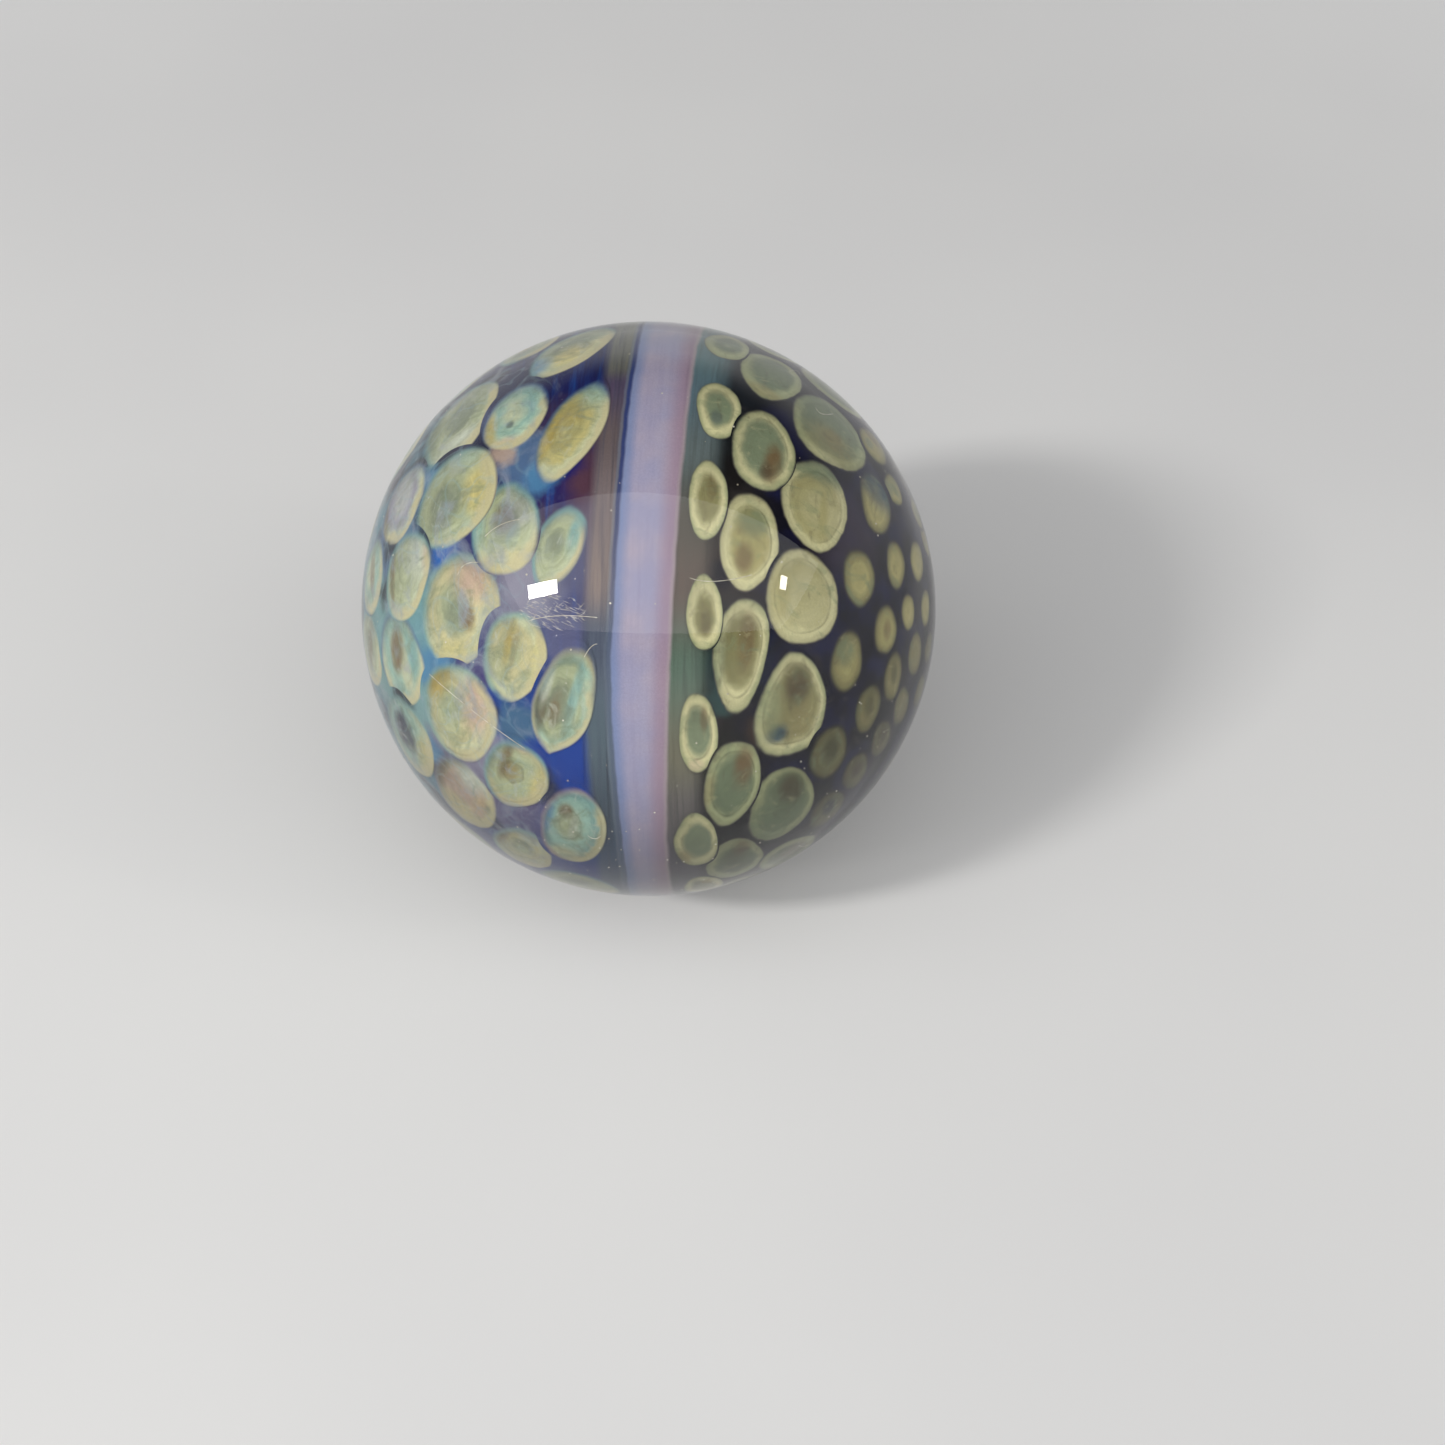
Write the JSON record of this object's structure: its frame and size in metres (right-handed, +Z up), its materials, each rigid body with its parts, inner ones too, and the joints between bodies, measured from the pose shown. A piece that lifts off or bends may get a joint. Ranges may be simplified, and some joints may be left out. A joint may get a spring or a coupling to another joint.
{
  "type": "glass marble",
  "caption": "Round encased glass marble: a clear casing over a patterned ball with a lilac band between a half of large cream cells and a half of fine ringed dots.",
  "frame": {"origin": "centre of the ball", "axes": "+X along the pattern's own axis, from the half with large cells to the half with fine dots; +Z up; -Y is the front of the pattern, and the lilac band runs round X close to the plane X = 0"},
  "size_m": [0.038, 0.038, 0.038],
  "materials": {
    "clear_casing": "polished clear borosilicate glass",
    "lilac_band": "opaque lilac glass, streaked lengthwise",
    "blue_edge_line": "opaque blue glass thread",
    "rose_edge_line": "opaque rose-grey glass thread",
    "slate_wrap": "dense slate-grey glass",
    "smoke_wrap": "dense smoky teal glass",
    "cobalt_ground": "dense cobalt glass",
    "midnight_ground": "dense midnight-blue glass",
    "cell_halos": "opaque turquoise glass",
    "cream_cells": "opaque celadon-cream glass",
    "cell_hearts": "opaque honey glass",
    "dot_rims": "opaque cream-yellow glass",
    "dot_hearts": "dense grey-green glass",
    "far_dots": "dense olive glass"
  },
  "bodies": {
    "root": {"clear_casing": "clear_casing", "lilac_band": "lilac_band", "blue_edge_line": "blue_edge_line", "rose_edge_line": "rose_edge_line", "slate_wrap": "slate_wrap", "smoke_wrap": "smoke_wrap", "cobalt_ground": "cobalt_ground", "midnight_ground": "midnight_ground", "cell_halos": "cell_halos", "cream_cells": "cream_cells", "cell_hearts": "cell_hearts", "dot_rims": "dot_rims", "dot_hearts": "dot_hearts", "far_dots": "far_dots"}
  },
  "joints": []
}
